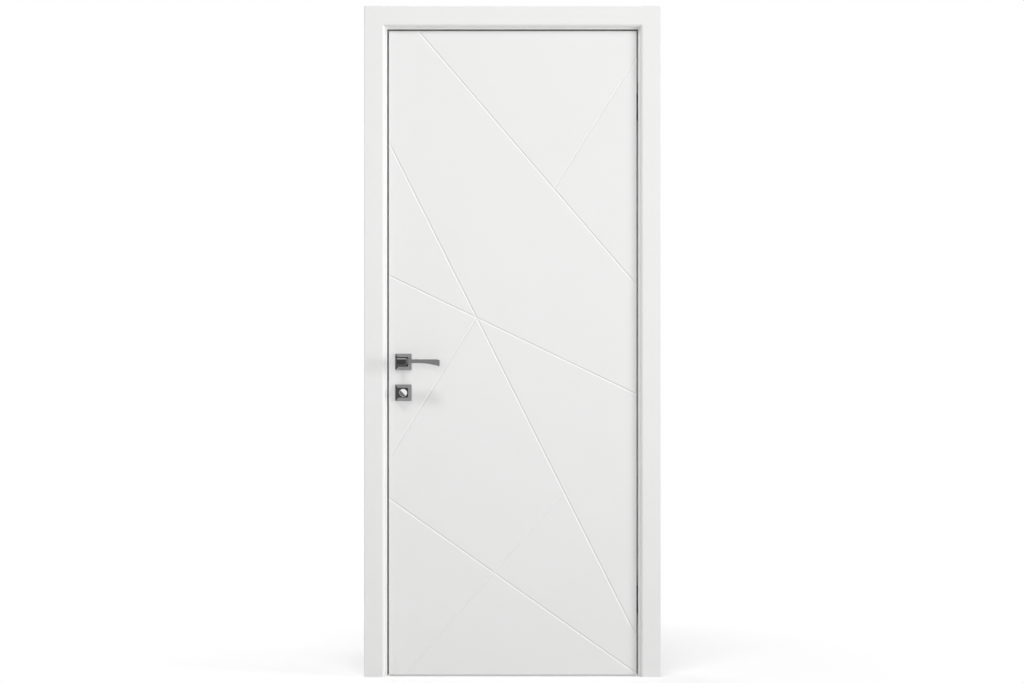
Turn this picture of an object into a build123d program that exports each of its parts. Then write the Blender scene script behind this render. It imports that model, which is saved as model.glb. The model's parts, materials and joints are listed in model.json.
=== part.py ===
"""Interior door set: a grooved white leaf in a rebated frame, with casings, concealed hinges and handles.

Millimetres, +X to the right of a viewer on the pull side, +Y away from that viewer, +Z up.
The origin is on the hinge jamb's wall face, at floor level and half way through the wall.
"""
import math
import os
from build123d import *

os.makedirs("parts", exist_ok=True)

# Leaf
LEAF_WIDTH = 762.0
LEAF_HEIGHT = 1981.0
LEAF_THICKNESS = 40.0
FACING = 6.0
LATCH_STILE = 100.0
HINGE_STILE = 60.0
RAIL = 80.0
LATCH_BEVEL = 1.5
ARRIS = 1.5
FLOOR_GAP = 5.0
EDGE_GAP = 5.0

# Frame and casings
WALL_DEPTH = 100.0
JAMB = 30.0
STOP = 14.0
SEAL_THICKNESS = 3.0
SEAL_WIDTH = 10.0
CASING_WIDTH = 64.0
CASING_THICKNESS = 12.0
CASING_REVEAL = 6.0
CASING_INNER_ROUND = 9.0
CASING_OUTER_ROUND = 2.5

# Milled grooves: points are (distance from the latch edge, height above the leaf's foot), angles from level
GROOVE_WIDTH = 7.0
GROOVE_DEPTH = 1.2
STEEP_GROOVE = ((0.0, 1638.0), (LEAF_WIDTH, 116.0))
UPPER_GROOVE = ((90.0, LEAF_HEIGHT), (LEAF_WIDTH, 1199.0))
MIDDLE_GROOVE = ((0.0, 1228.0), (LEAF_WIDTH, 863.0))
LOW_GROOVE = ((0.0, 543.0), (LEAF_WIDTH, 4.0))
CORNER_SPUR_HEIGHT = 1898.0
CORNER_SPUR_ANGLE = 237.8
FOOT_SPUR_SIDE = 48.0
FOOT_SPUR_ANGLE = 48.9
LEVER_SPUR_HEIGHT = 664.0
LEVER_SPUR_ANGLE = 58.1

# Lever, turn and lock
BACKSET = 45.0
LEVER_HEIGHT = 968.0
LOCK_CENTRES = 95.0
ROSETTE = 50.0
ROSETTE_FLAT = 30.0
ROSETTE_EDGE = 2.0
ROSETTE_THICKNESS = 8.0
LEVER_HUB_RADIUS = 9.0
TURN_HUB_RADIUS = 7.0
RUNNING_CLEARANCE = 0.05
HEAD_GAP = 0.5
LEVER_PROJECTION = 50.0
LEVER_THICKNESS = 11.0
LEVER_TILT = 4.0
LEVER_REACH = 113.0
LEVER_HEAD_LEFT = 18.0
LEVER_HEAD_RIGHT = 16.0
LEVER_HEAD_HEIGHT = 23.0
LEVER_HEAD_DEPTH = 15.0
LEVER_BEVEL = 4.0
LEVER_BEVEL_LEFT = 3.0
LEVER_BEVEL_RIGHT = 8.0
LEVER_TOP = 8.0
LEVER_NECK_DEPTH = 11.5
LEVER_TIP_DEPTH = 21.5
LEVER_TIP_SLANT = 9.0
LEVER_TIP_DROP = 2.3
LEVER_EASE = 1.0
LEVER_STRAIGHT = 47.0
TURN_RADIUS = 12.0
TURN_BASE = 5.0
TURN_RIDGE = 13.0
RELEASE_THICKNESS = 5.0
COIN_SLOT = 2.4
COIN_SLOT_LENGTH = 18.0
RELEASE_CHAMFER = 1.0
LEVER_SPINDLE = 8.0
TURN_SPINDLE = 6.0
SPINDLE_FIT = 0.1
SPINDLE_END_GAP = 1.0
FOREND_WIDTH = 20.0
FOREND_END = 57.5
FOREND_THICKNESS = 3.0
LATCH_SIZE = (12.0, 22.0)
BOLT_SIZE = (9.0, 26.0)
BOLT_LENGTH = 25.0
STRIKE_WIDTH = 24.0
STRIKE_END = 37.5
STRIKE_THICKNESS = 2.0
STRIKE_POCKET = 15.0
STRIKE_CLEARANCE = 1.0

# Concealed hinges: depths are measured back from the leaf's face, sides from the middle of the hinge gap
HINGE_FROM_END = 230.0
AXIS_AHEAD = 4.0
PIVOT_SIDE = 13.0
PIVOT_DEPTH = 12.0
ELBOW_BULGE = 10.0
CUP_CAVITY = 106.0
CUP_LUG = 22.0
CUP_WIDTH = 28.0
CUP_DEPTH = 20.0
CUP_WALL = 1.5
CUP_ROUND = 5.0
PIN_RADIUS = 2.0
PIN_FIT = 0.08
ARM_WIDTH = 5.0
ARM_EYE = 3.75
ARM_TONGUE = 36.0
ARM_FORK = 24.0
ARM_LAYER_GAP = 0.3

# Derived positions
FRONT = -WALL_DEPTH / 2
LEAF_BACK = FRONT + LEAF_THICKNESS
LEAF_MIDDLE = FRONT + LEAF_THICKNESS / 2
HINGE_EDGE = -JAMB - EDGE_GAP
LATCH_EDGE = HINGE_EDGE - LEAF_WIDTH
FRAME_WIDTH = LEAF_WIDTH + 2 * EDGE_GAP + 2 * JAMB
LEAF_FOOT = FLOOR_GAP
LEAF_TOP = LEAF_FOOT + LEAF_HEIGHT
FRAME_TOP = LEAF_TOP + EDGE_GAP + JAMB
TURN_HEIGHT = LEVER_HEIGHT - LOCK_CENTRES
LOCK_MIDDLE = LEVER_HEIGHT - LOCK_CENTRES / 2
REBATE = LEAF_THICKNESS + EDGE_GAP + SEAL_THICKNESS
LEVER_AXIS_X = LATCH_EDGE + BACKSET
HINGE_GAP_MIDDLE = -JAMB - EDGE_GAP / 2
HINGE_HEIGHTS = {"upper": LEAF_TOP - HINGE_FROM_END, "lower": LEAF_FOOT + HINGE_FROM_END}
CROSSING_DEPTH = 2 * PIVOT_DEPTH + AXIS_AHEAD
CUP_HEIGHT = CUP_CAVITY + 2 * CUP_LUG

RIGHT = (1, 0, 0)
LEFT = (-1, 0, 0)
BACKWARD = (0, 1, 0)
FORWARD = (0, -1, 0)
UP = (0, 0, 1)
DOWN = (0, 0, -1)


def save(node, shape):
    """Writes one named piece."""
    export_step(shape, f"parts/{node}.step")


def block(x, y, z):
    """A box between two limits on each axis."""
    size = [limits[1] - limits[0] for limits in (x, y, z)]
    centre = [(limits[0] + limits[1]) / 2 for limits in (x, y, z)]
    return Pos(*centre) * Box(*size)


def section(points, rounds=()):
    """A closed outline; rounds gives (corner index, radius) for the corners that are eased."""
    face = make_face(Polyline(*points, close=True))
    for index, radius in rounds:
        corner = face.vertices().sort_by_distance((*points[index], 0))[0]
        face = fillet(corner, radius)
    return face


def run(face, origin, across, out, along, length):
    """A bar of one section: the section's x lies across, its y lies out, and the bar runs along."""
    plane = Plane(origin=origin, x_dir=across, z_dir=Vector(*across).cross(Vector(*out)))
    return extrude(plane * face, amount=length, dir=along)


def rod(radius, start, along, length):
    """A round bar from a point, along a direction."""
    return extrude(Plane(origin=start, z_dir=along) * Circle(radius), amount=length)


def head_zone():
    """The space of the head's mitred length, used to cut the frame's corners at 45 degrees."""
    cut = 3 * JAMB
    outline = [(0, 0), (FRAME_WIDTH, 0), (FRAME_WIDTH - cut, cut), (cut, cut)]
    return run(section(outline), (0, 2 * FRONT, FRAME_TOP), LEFT, DOWN, BACKWARD, -4 * FRONT)


def frame_bars(outline, rounds):
    """Two jambs and a head of one section, mitred at the upper corners."""
    face = section(outline, rounds)
    zone = head_zone()
    hinge = run(face, (0, FRONT, 0), LEFT, BACKWARD, UP, FRAME_TOP) - zone
    latch = run(face, (-FRAME_WIDTH, FRONT, 0), RIGHT, BACKWARD, UP, FRAME_TOP) - zone
    head = run(face, (0, FRONT, FRAME_TOP), DOWN, BACKWARD, LEFT, FRAME_WIDTH) & zone
    return hinge, latch, head


def frame_lining():
    """The rebated frame, with pockets for the hinges and the strike."""
    inner = JAMB + STOP
    outline = [(0, 0), (JAMB, 0), (JAMB, REBATE), (inner, REBATE), (inner, WALL_DEPTH), (0, WALL_DEPTH)]
    hinge, latch, head = frame_bars(outline, [(1, ARRIS), (3, ARRIS), (4, ARRIS)])
    for height in HINGE_HEIGHTS.values():
        hinge -= cup_body(height, 1)
    latch -= strike_outline()
    for height, size in ((LEVER_HEIGHT, LATCH_SIZE), (TURN_HEIGHT, BOLT_SIZE)):
        latch -= strike_pocket(height, size)
    save("hinge_jamb", hinge)
    save("latch_jamb", latch)
    save("head_jamb", head)


def seals():
    """The strips on the face of the stop, behind the leaf."""
    front = REBATE - SEAL_THICKNESS
    inner = JAMB + SEAL_WIDTH
    outline = [(JAMB, front), (inner, front), (inner, REBATE), (JAMB, REBATE)]
    hinge, latch, head = frame_bars(outline, [(1, SEAL_THICKNESS / 2)])
    save("hinge_seal", hinge)
    save("latch_seal", latch)
    save("head_seal", head)


def casing_set(side, wall, out, inner_edge):
    """Two upright casings and a head between them, on one side of the wall."""
    corners = [(0, 0), (CASING_WIDTH, 0), (CASING_WIDTH, CASING_THICKNESS), (0, CASING_THICKNESS)]
    face = section(corners, [(2, CASING_OUTER_ROUND), (3, CASING_INNER_ROUND)])
    top = FRAME_TOP - inner_edge
    height = top + CASING_WIDTH
    hinge = run(face, (-inner_edge, wall, 0), RIGHT, out, UP, height)
    latch = run(face, (inner_edge - FRAME_WIDTH, wall, 0), LEFT, out, UP, height)
    head = run(face, (-inner_edge, wall, top), UP, out, LEFT, FRAME_WIDTH - 2 * inner_edge)
    save(f"{side}_hinge_casing", hinge)
    save(f"{side}_latch_casing", latch)
    save(f"{side}_head_casing", head)


def casings():
    """Casings on both sides; each leaves the same strip of frame in view."""
    casing_set("front", FRONT, FORWARD, JAMB - CASING_REVEAL)
    casing_set("back", -FRONT, BACKWARD, JAMB + STOP - CASING_REVEAL)


def latch_wedge():
    """What the bevel takes off the leaf's latch edge, so that its back corner clears the jamb."""
    outline = [(0, 0), (LATCH_BEVEL, LEAF_THICKNESS), (-RAIL, LEAF_THICKNESS), (-RAIL, 0)]
    return run(section(outline), (LATCH_EDGE, FRONT, 0), RIGHT, BACKWARD, UP, FRAME_TOP)


def spur(start, angle, stop):
    """The line of a groove that leaves the leaf's edge at an angle and ends where it meets another groove."""
    (u0, w0), (u1, w1) = stop
    across = math.cos(math.radians(angle))
    rise = math.sin(math.radians(angle))
    turn = across * (w1 - w0) - rise * (u1 - u0)
    reach = ((u0 - start[0]) * (w1 - w0) - (w0 - start[1]) * (u1 - u0)) / turn
    return start, (start[0] + reach * across, start[1] + reach * rise)


def groove_lines():
    """Every groove of one face, each with the length by which its second end runs past the leaf."""
    through = [(line, GROOVE_WIDTH) for line in (STEEP_GROOVE, UPPER_GROOVE, MIDDLE_GROOVE, LOW_GROOVE)]
    corner = spur((LEAF_WIDTH, CORNER_SPUR_HEIGHT), CORNER_SPUR_ANGLE, UPPER_GROOVE)
    foot = spur((FOOT_SPUR_SIDE, 0.0), FOOT_SPUR_ANGLE, STEEP_GROOVE)
    beside_lever = spur((0.0, LEVER_SPUR_HEIGHT), LEVER_SPUR_ANGLE, STEEP_GROOVE)
    return through + [(line, 0.0) for line in (corner, foot, beside_lever)]


def groove(line, overrun, surface, out):
    """A V along a line on one face of the leaf; it starts past the edge and ends with its overrun."""
    (u0, w0), (u1, w1) = line
    direction = Vector(u1 - u0, 0, w1 - w0).normalized()
    start = Vector(LATCH_EDGE + u0, surface, LEAF_FOOT + w0) - direction * GROOVE_WIDTH
    length = math.hypot(u1 - u0, w1 - w0) + GROOVE_WIDTH + overrun
    mouth = GROOVE_WIDTH / 2
    above = [(GROOVE_DEPTH, 2 * mouth), (GROOVE_DEPTH, -2 * mouth)]
    outline = [(-GROOVE_DEPTH, 0), (0, mouth), *above, (0, -mouth)]
    plane = Plane(origin=start, x_dir=out, z_dir=direction)
    return extrude(plane * section(outline), amount=length)


def spindle_holes():
    """Clearance holes for both spindles, right through the leaf."""
    start = (LEVER_AXIS_X, 2 * FRONT, LEVER_HEIGHT)
    lever = rod(LEVER_SPINDLE, start, BACKWARD, WALL_DEPTH)
    turn = rod(TURN_SPINDLE, (start[0], start[1], TURN_HEIGHT), BACKWARD, WALL_DEPTH)
    return lever, turn


def facing(name, surface, out):
    """One grooved skin of the leaf, with eased outer edges."""
    inner = surface - out[1] * FACING
    skin = block((LATCH_EDGE, HINGE_EDGE), sorted((surface, inner)), (LEAF_FOOT, LEAF_TOP))
    outer_face = skin.faces().sort_by_distance(((LATCH_EDGE + HINGE_EDGE) / 2, surface, LEAF_HEIGHT / 2))[0]
    skin = chamfer(outer_face.edges(), ARRIS)
    for line, overrun in groove_lines():
        skin -= groove(line, overrun, surface, out)
    skin -= latch_wedge()
    for hole in spindle_holes():
        skin -= hole
    save(name, skin)


def leaf_core():
    """Stiles and rails between the facings; the field between them is empty."""
    depth = (FRONT + FACING, LEAF_BACK - FACING)
    height = (LEAF_FOOT, LEAF_TOP)
    latch_inner = LATCH_EDGE + LATCH_STILE
    hinge_inner = HINGE_EDGE - HINGE_STILE
    latch = block((LATCH_EDGE, latch_inner), depth, height) - latch_wedge() - forend_outline()
    for hole in spindle_holes():
        latch -= hole
    for bolt in bolt_bodies():
        latch -= bolt
    hinge = block((hinge_inner, HINGE_EDGE), depth, height)
    for level in HINGE_HEIGHTS.values():
        hinge -= cup_body(level, -1)
    save("latch_stile", latch)
    save("hinge_stile", hinge)
    save("top_rail", block((latch_inner, hinge_inner), depth, (LEAF_TOP - RAIL, LEAF_TOP)))
    save("bottom_rail", block((latch_inner, hinge_inner), depth, (LEAF_FOOT, LEAF_FOOT + RAIL)))


def forend_outline():
    """The lock's front plate, before its openings."""
    face = RectangleRounded(FOREND_WIDTH, LOCK_CENTRES + 2 * FOREND_END, FOREND_WIDTH * 0.45)
    start = (LATCH_EDGE, LEAF_MIDDLE, LOCK_MIDDLE)
    plate = run(face, start, BACKWARD, UP, RIGHT, FOREND_THICKNESS + LATCH_BEVEL)
    return plate - latch_wedge()


def bolt_bodies():
    """The latch and the privacy bolt, both drawn back flush with the lock's front plate."""
    bodies = []
    for height, (width, tall) in ((LEVER_HEIGHT, LATCH_SIZE), (TURN_HEIGHT, BOLT_SIZE)):
        start = (LATCH_EDGE, LEAF_MIDDLE, height)
        bodies.append(run(Rectangle(width, tall), start, BACKWARD, UP, RIGHT, BOLT_LENGTH) - latch_wedge())
    return bodies


def lock():
    """Front plate, latch and privacy bolt on the leaf's latch edge."""
    latch, bolt = bolt_bodies()
    save("lock_forend", forend_outline() - latch - bolt)
    save("latch_bolt", latch)
    save("privacy_bolt", bolt)


def strike_outline():
    """The strike plate, before its openings."""
    face = RectangleRounded(STRIKE_WIDTH, LOCK_CENTRES + 2 * STRIKE_END, STRIKE_WIDTH / 4)
    start = (LATCH_EDGE - EDGE_GAP, LEAF_MIDDLE, LOCK_MIDDLE)
    return run(face, start, BACKWARD, UP, LEFT, STRIKE_THICKNESS)


def strike_pocket(height, size):
    """The space behind the strike that the latch or the bolt enters."""
    start = (LATCH_EDGE - EDGE_GAP, LEAF_MIDDLE, height)
    face = Rectangle(size[0] + 2 * STRIKE_CLEARANCE, size[1] + 2 * STRIKE_CLEARANCE)
    return run(face, start, BACKWARD, UP, LEFT, STRIKE_POCKET)


def strike():
    """The plate on the latch jamb, with an opening for the latch and one for the bolt."""
    plate = strike_outline()
    for height, size in ((LEVER_HEIGHT, LATCH_SIZE), (TURN_HEIGHT, BOLT_SIZE)):
        plate -= strike_pocket(height, size)
    save("strike_plate", plate)


def to_back(shape):
    """The same piece on the leaf's other face."""
    return mirror(shape, about=Plane(origin=(0, LEAF_MIDDLE, 0), z_dir=BACKWARD))


def bevelled_block(height, across, up, out):
    """A block on the handles' axis whose front is bevelled on four sides.

    across and up give the limits of its foot and its flat in order; out gives the distances of its back, its
    bevel's foot and its flat from the leaf.
    """
    def outline(limits):
        low, flat_low, flat_high, high = limits
        back, edge, front = out
        sides = [(low, back), (high, back), (high, edge)]
        top = [(flat_high, front), (flat_low, front), (low, edge)]
        return section(sides + top)

    level_start = (LEVER_AXIS_X + across[0], FRONT, height)
    level_bar = run(outline(up), level_start, UP, FORWARD, RIGHT, across[-1] - across[0])
    upright_start = (LEVER_AXIS_X, FRONT, height + up[0])
    upright_bar = run(outline(across), upright_start, RIGHT, FORWARD, UP, up[-1] - up[0])
    return level_bar & upright_bar


def rosette(height, bore):
    """A square rose with a wide bevel and a bored centre."""
    side = (-ROSETTE / 2, -ROSETTE_FLAT / 2, ROSETTE_FLAT / 2, ROSETTE / 2)
    plate = bevelled_block(height, side, side, (0, ROSETTE_EDGE, ROSETTE_THICKNESS))
    return plate - rod(bore, (LEVER_AXIS_X, FRONT, height), FORWARD, ROSETTE)


def socket(size, depth, height):
    """The square hole that takes a spindle's end."""
    fit = size + 2 * SPINDLE_FIT
    return run(Rectangle(fit, fit), (LEVER_AXIS_X, FRONT, height), RIGHT, UP, FORWARD, depth)


def lever_head():
    """The lever's bevelled block over the neck; its long bevel on one side runs into the blade."""
    flat_right = LEVER_HEAD_RIGHT - LEVER_BEVEL_RIGHT
    across = (-LEVER_HEAD_LEFT, LEVER_BEVEL_LEFT - LEVER_HEAD_LEFT, flat_right, LEVER_HEAD_RIGHT)
    half = LEVER_HEAD_HEIGHT / 2
    up = (-half, LEVER_BEVEL - half, half - LEVER_BEVEL, half)
    out = (LEVER_PROJECTION - LEVER_HEAD_DEPTH, LEVER_PROJECTION - LEVER_BEVEL, LEVER_PROJECTION)
    return bevelled_block(LEVER_HEIGHT, across, up, out)


def lever_blade():
    """The blade: level above, swelling below towards the tip, its front face leaning back at the top."""
    neck_under = LEVER_TOP - LEVER_NECK_DEPTH
    tip_under = LEVER_TOP - LEVER_TIP_DEPTH
    tip_corner = (LEVER_REACH, LEVER_TOP - LEVER_TIP_DROP)
    slant = (LEVER_REACH - LEVER_TIP_SLANT, LEVER_TOP)
    upper = Polyline((LEVER_STRAIGHT, neck_under), (0, neck_under), (0, LEVER_TOP), slant, tip_corner)
    tip = Line(tip_corner, (LEVER_REACH, tip_under))
    swell = TangentArc((LEVER_STRAIGHT, neck_under), (LEVER_REACH, tip_under), tangent=(1, 0))
    outline = make_face([upper, tip, swell])
    back = FRONT - LEVER_PROJECTION + LEVER_THICKNESS
    blade = run(outline, (LEVER_AXIS_X, back, LEVER_HEIGHT), RIGHT, UP, FORWARD, LEVER_THICKNESS)
    lean = [(LEVER_TOP, -LEVER_TILT), (LEVER_TOP, LEVER_TILT), (tip_under, LEVER_TILT), (tip_under, 0)]
    face = (LEVER_AXIS_X, FRONT - LEVER_PROJECTION, LEVER_HEIGHT)
    blade -= run(section(lean), face, UP, FORWARD, RIGHT, LEVER_REACH)
    top_edges = blade.edges().filter_by(Axis.X).group_by(Axis.Z)[-1]
    return chamfer(top_edges, LEVER_EASE)


def lever():
    """Hub, round neck, head and blade in one casting, square-bored for the spindle."""
    axis = (LEVER_AXIS_X, FRONT - HEAD_GAP, LEVER_HEIGHT)
    neck = rod(LEVER_HUB_RADIUS, axis, FORWARD, LEVER_PROJECTION - LEVER_THICKNESS)
    return neck + lever_head() + lever_blade() - socket(LEVER_SPINDLE, LEVER_PROJECTION / 2, LEVER_HEIGHT)


def turn_hub(length):
    """The round shank that runs in the turn's rose."""
    return rod(TURN_HUB_RADIUS, (LEVER_AXIS_X, FRONT - HEAD_GAP, TURN_HEIGHT), FORWARD, length)


def turn_knob():
    """A round thumb turn whose crown is a ridge on the diagonal."""
    foot = ROSETTE_THICKNESS + HEAD_GAP
    centre = (LEVER_AXIS_X, FRONT, TURN_HEIGHT)
    start = (LEVER_AXIS_X, FRONT - foot, TURN_HEIGHT)
    barrel = rod(TURN_RADIUS, start, FORWARD, TURN_RIDGE)
    half = 2 * TURN_RADIUS
    slope = (TURN_RIDGE - TURN_BASE) / TURN_RADIUS
    low = TURN_RIDGE - slope * half
    under = low - TURN_RIDGE
    gable = [(-half, low), (-half, under), (half, under), (half, low), (0, TURN_RIDGE)]
    diagonal = (math.sqrt(0.5), 0, math.sqrt(0.5))
    ridge = (math.sqrt(0.5), 0, -math.sqrt(0.5))
    origin = Vector(*start) - Vector(*ridge) * half
    crown = run(section(gable), origin, diagonal, FORWARD, ridge, 2 * half)
    knob = (barrel & crown) + turn_hub(foot)
    return knob - socket(TURN_SPINDLE, ROSETTE_THICKNESS, TURN_HEIGHT)


def coin_release():
    """The outer end of the turn: a low round button with a coin slot."""
    foot = ROSETTE_THICKNESS + HEAD_GAP
    button = rod(TURN_RADIUS, (LEVER_AXIS_X, FRONT - foot, TURN_HEIGHT), FORWARD, RELEASE_THICKNESS)
    button = chamfer(button.faces().sort_by(Axis.Y)[0].edges(), RELEASE_CHAMFER)
    floor = (LEVER_AXIS_X, FRONT - foot - RELEASE_THICKNESS / 2, TURN_HEIGHT)
    slot = run(Rectangle(COIN_SLOT, COIN_SLOT_LENGTH), floor, RIGHT, UP, FORWARD, foot)
    return to_back(button + turn_hub(foot) - slot - socket(TURN_SPINDLE, ROSETTE_THICKNESS, TURN_HEIGHT))


def spindle(size, height, reach):
    """A square bar through the leaf, between the two ends that it joins."""
    start = (LEVER_AXIS_X, FRONT - reach, height)
    return run(Rectangle(size, size), start, RIGHT, UP, BACKWARD, LEAF_THICKNESS + 2 * reach)


def handles():
    """Roses, levers, turn and their spindles."""
    lever_rose = rosette(LEVER_HEIGHT, LEVER_HUB_RADIUS + RUNNING_CLEARANCE)
    turn_rose = rosette(TURN_HEIGHT, TURN_HUB_RADIUS + RUNNING_CLEARANCE)
    save("front_lever_rosette", lever_rose)
    save("back_lever_rosette", to_back(lever_rose))
    save("front_turn_rosette", turn_rose)
    save("back_turn_rosette", to_back(turn_rose))
    handle = lever()
    save("front_lever", handle)
    save("back_lever", to_back(handle))
    save("lever_spindle", spindle(LEVER_SPINDLE, LEVER_HEIGHT, LEVER_PROJECTION / 2 - SPINDLE_END_GAP))
    save("front_turn_knob", turn_knob())
    save("back_turn_release", coin_release())
    save("turn_spindle", spindle(TURN_SPINDLE, TURN_HEIGHT, ROSETTE_THICKNESS - SPINDLE_END_GAP))


def hinge_point(side, depth):
    """A point in plan beside the hinge gap: side +1 is the frame, -1 the leaf."""
    return (HINGE_GAP_MIDDLE + side, FRONT + depth)


def cup_body(height, side):
    """The outline of a hinge cup let into the jamb (side +1) or into the leaf (side -1)."""
    face = RectangleRounded(CUP_WIDTH, CUP_HEIGHT, CUP_ROUND)
    mouth = HINGE_GAP_MIDDLE + side * EDGE_GAP / 2
    return run(face, (mouth, LEAF_MIDDLE, height), BACKWARD, UP, (side, 0, 0), CUP_DEPTH)


def hinge_cup(height, side):
    """A cup open to the gap, with the pin that its arm turns on."""
    face = RectangleRounded(CUP_WIDTH - 2 * CUP_WALL, CUP_CAVITY, CUP_ROUND - CUP_WALL)
    mouth = HINGE_GAP_MIDDLE + side * EDGE_GAP / 2
    space = run(face, (mouth, LEAF_MIDDLE, height), BACKWARD, UP, (side, 0, 0), CUP_DEPTH - CUP_WALL)
    foot = (*hinge_point(side * PIVOT_SIDE, PIVOT_DEPTH), height - CUP_CAVITY / 2 - CUP_WALL)
    return cup_body(height, side) - space + rod(PIN_RADIUS, foot, UP, CUP_CAVITY + 2 * CUP_WALL)


def arm_outline(side):
    """A hinge arm in plan: pivot, elbow bulging into its own cup, crossing pin."""
    pivot = Vector(*hinge_point(side * PIVOT_SIDE, PIVOT_DEPTH))
    crossing = Vector(*hinge_point(0, CROSSING_DEPTH))
    reach = crossing - pivot
    bulge = Vector(reach.Y, -reach.X).normalized() * ELBOW_BULGE * side
    elbow = (pivot + crossing) * 0.5 + bulge
    shape = Pos(pivot.X, pivot.Y) * Circle(ARM_EYE) + Pos(crossing.X, crossing.Y) * Circle(ARM_EYE)
    shape += Pos(elbow.X, elbow.Y) * Circle(ARM_WIDTH / 2)
    for end in (pivot, crossing):
        middle = (end + elbow) * 0.5
        span = elbow - end
        angle = math.degrees(math.atan2(span.Y, span.X))
        shape += Pos(middle.X, middle.Y) * Rot(0, 0, angle) * Rectangle(span.length, ARM_WIDTH)
    return shape


def arm_plate(side, foot, height):
    """One layer of an arm, with its two eyes bored."""
    plate = extrude(Pos(0, 0, foot) * arm_outline(side), amount=height)
    for eye in (hinge_point(side * PIVOT_SIDE, PIVOT_DEPTH), hinge_point(0, CROSSING_DEPTH)):
        plate -= rod(PIN_RADIUS + PIN_FIT, (*eye, foot), UP, height)
    return plate


def hinges():
    """Two concealed hinges, each with two cups, a tongue arm on the frame and a forked arm on the leaf."""
    for place, height in HINGE_HEIGHTS.items():
        save(f"{place}_frame_hinge_cup", hinge_cup(height, 1))
        save(f"{place}_leaf_hinge_cup", hinge_cup(height, -1))
        save(f"{place}_frame_arm", arm_plate(1, height - ARM_TONGUE / 2, ARM_TONGUE))
        above = height + ARM_TONGUE / 2 + ARM_LAYER_GAP
        below = height - ARM_TONGUE / 2 - ARM_LAYER_GAP - ARM_FORK
        pin = rod(PIN_RADIUS, (*hinge_point(0, CROSSING_DEPTH), below), UP, above + ARM_FORK - below)
        fork = extrude(Pos(0, 0, above) * arm_outline(-1), amount=ARM_FORK)
        fork += extrude(Pos(0, 0, below) * arm_outline(-1), amount=ARM_FORK)
        eye = (*hinge_point(-PIVOT_SIDE, PIVOT_DEPTH), below)
        fork -= rod(PIN_RADIUS + PIN_FIT, eye, UP, above + ARM_FORK - below)
        save(f"{place}_leaf_arm", fork + pin)


frame_lining()
seals()
casings()
facing("front_facing", FRONT, FORWARD)
facing("back_facing", LEAF_BACK, BACKWARD)
leaf_core()
lock()
strike()
handles()
hinges()
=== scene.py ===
"""Finishes, hardware and studio for an interior door set, in metres, in the door's own frame.

+X is to the right of a viewer on the pull side, +Y away from that viewer, +Z up.
"""
import json
import math

import bpy
import numpy as np
from bpy.props import FloatProperty, FloatVectorProperty, PointerProperty
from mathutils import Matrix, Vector


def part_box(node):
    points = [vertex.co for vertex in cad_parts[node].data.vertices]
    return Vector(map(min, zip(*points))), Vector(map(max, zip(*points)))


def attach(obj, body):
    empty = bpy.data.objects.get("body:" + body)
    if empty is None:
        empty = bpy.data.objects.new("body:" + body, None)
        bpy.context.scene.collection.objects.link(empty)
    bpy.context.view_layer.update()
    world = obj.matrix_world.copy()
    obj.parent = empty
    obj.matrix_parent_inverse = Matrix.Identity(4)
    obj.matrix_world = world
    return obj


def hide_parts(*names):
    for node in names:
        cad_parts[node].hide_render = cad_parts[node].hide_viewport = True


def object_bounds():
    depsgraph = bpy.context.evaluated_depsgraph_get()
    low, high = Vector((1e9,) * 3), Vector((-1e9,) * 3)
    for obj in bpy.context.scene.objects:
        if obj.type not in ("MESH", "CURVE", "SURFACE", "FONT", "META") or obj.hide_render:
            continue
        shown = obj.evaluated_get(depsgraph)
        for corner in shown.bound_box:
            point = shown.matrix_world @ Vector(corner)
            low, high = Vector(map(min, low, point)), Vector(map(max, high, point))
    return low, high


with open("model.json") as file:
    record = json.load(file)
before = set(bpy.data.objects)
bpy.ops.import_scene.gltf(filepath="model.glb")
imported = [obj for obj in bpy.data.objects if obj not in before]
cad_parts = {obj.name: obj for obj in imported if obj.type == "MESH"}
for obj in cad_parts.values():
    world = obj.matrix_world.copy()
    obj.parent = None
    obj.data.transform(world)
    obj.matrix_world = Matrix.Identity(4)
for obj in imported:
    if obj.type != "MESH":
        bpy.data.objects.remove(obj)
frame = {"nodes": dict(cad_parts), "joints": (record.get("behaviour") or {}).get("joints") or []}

bl_info = {
    "name": "Interior door set",
    "version": (1, 0, 0),
    "blender": (4, 5, 0),
    "location": "View3D > Sidebar > Door",
    "description": "Finishes, hardware and a studio for a grooved interior door",
    "category": "Object",
}

CAD_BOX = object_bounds()
NODES = frame["nodes"]
JOINT_PLACES = {joint["name"]: np.array(joint["pos_m"]) for joint in frame["joints"]}
LEVER_AXIS = JOINT_PLACES["lever_press"]
TURN_AXIS = JOINT_PLACES["privacy_turn"]
FRONT_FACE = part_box("front_facing")[0].y
BACK_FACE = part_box("back_facing")[1].y
FRONT = (FRONT_FACE, -1.0)
BACK = (BACK_FACE, 1.0)

FRAME_NODES = ("hinge_jamb", "latch_jamb", "head_jamb")
CASING_NODES = tuple(
    f"{side}_{place}_casing"
    for side in ("front", "back")
    for place in ("hinge", "latch", "head")
)
FACING_NODES = ("front_facing", "back_facing")
CORE_NODES = ("hinge_stile", "latch_stile", "top_rail", "bottom_rail")
SEAL_NODES = ("hinge_seal", "latch_seal", "head_seal")
PLATE_NODES = ("lock_forend", "strike_plate")
BOLT_NODES = ("latch_bolt", "privacy_bolt")
SPINDLE_NODES = ("lever_spindle", "turn_spindle")
HINGE_NODES = tuple(
    f"{place}_{piece}"
    for place in ("upper", "lower")
    for piece in ("frame_hinge_cup", "leaf_hinge_cup", "frame_arm", "leaf_arm")
)

# Points on each rounded or cut corner
CORNER_POINTS = 6

# Angles over which an edge stays sharp
SHARP = math.radians(32.0)
ROSE_SHARP = math.radians(20.0)

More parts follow.
